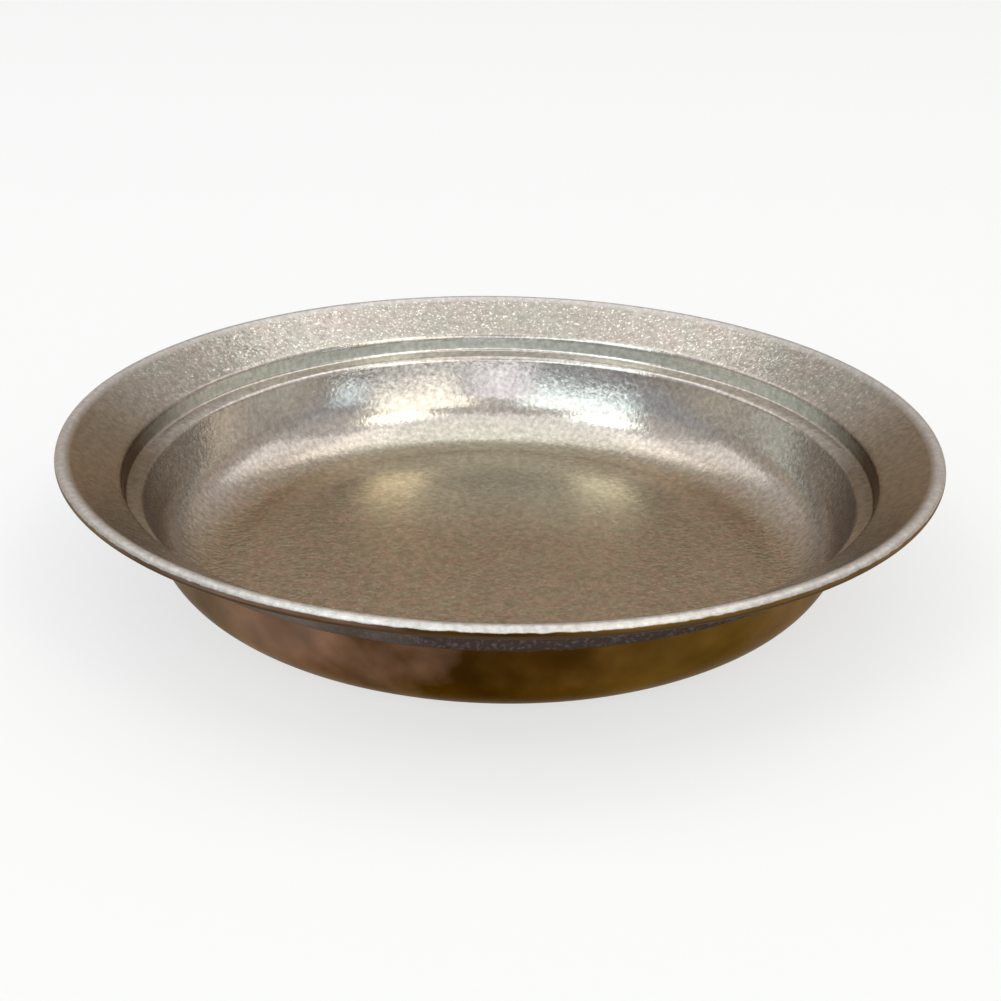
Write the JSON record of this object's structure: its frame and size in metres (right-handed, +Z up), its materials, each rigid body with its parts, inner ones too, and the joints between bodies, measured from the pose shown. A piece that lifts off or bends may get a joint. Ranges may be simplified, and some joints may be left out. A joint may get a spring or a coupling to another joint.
{
  "type": "camping plate",
  "caption": "Round camping plate of thin frosted metal: flat floor, steep bowl, narrow ledge and step round the mouth, sloping rim, edge rolled into a bead.",
  "frame": {"origin": "middle of the flat floor's underside, on the plate's axis, level with the table", "axes": "+Z up along the plate's axis, +X and +Y level and alike all round"},
  "size_m": [0.2, 0.2, 0.0345],
  "materials": {
    "frosted_sheet": "frosted, fine crystal grain, warm grey, satin reflections"
  },
  "bodies": {
    "root": {"plate": "frosted_sheet"}
  },
  "joints": []
}
